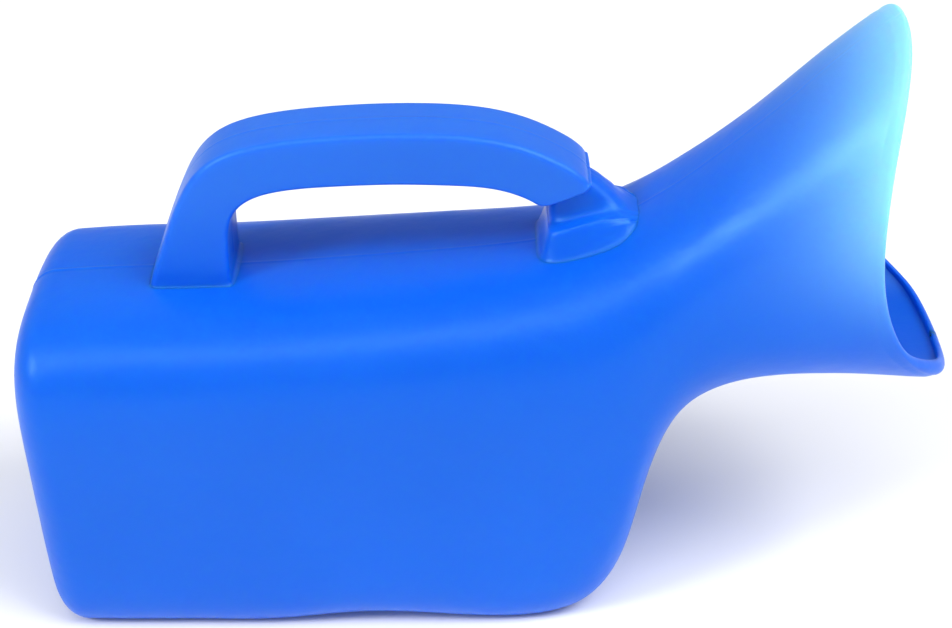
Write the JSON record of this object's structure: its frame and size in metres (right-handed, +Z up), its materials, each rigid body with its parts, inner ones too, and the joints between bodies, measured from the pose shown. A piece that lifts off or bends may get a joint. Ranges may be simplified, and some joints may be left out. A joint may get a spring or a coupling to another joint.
{
  "type": "urine bottle",
  "caption": "Bedside urine bottle: hollow box-shaped reservoir, slanted neck, flared saddle-shaped mouth and a hollow grip over the top with a short post under its nose.",
  "frame": {"origin": "on the resting plane, under the middle of the bottle's length and width", "axes": "+X from the rear end towards the mouth, +Y across the bottle, +Z up"},
  "size_m": [0.2843, 0.096, 0.19],
  "materials": {
    "shell_plastic": "satin blow-moulded polyethylene, faint orange-peel",
    "handle_plastic": "satin blow-moulded polyethylene, faint orange-peel",
    "post_plastic": "satin blow-moulded polyethylene, faint orange-peel"
  },
  "bodies": {
    "root": {"bottle_shell": "shell_plastic", "handle": "handle_plastic", "front_post": "post_plastic"}
  },
  "joints": []
}
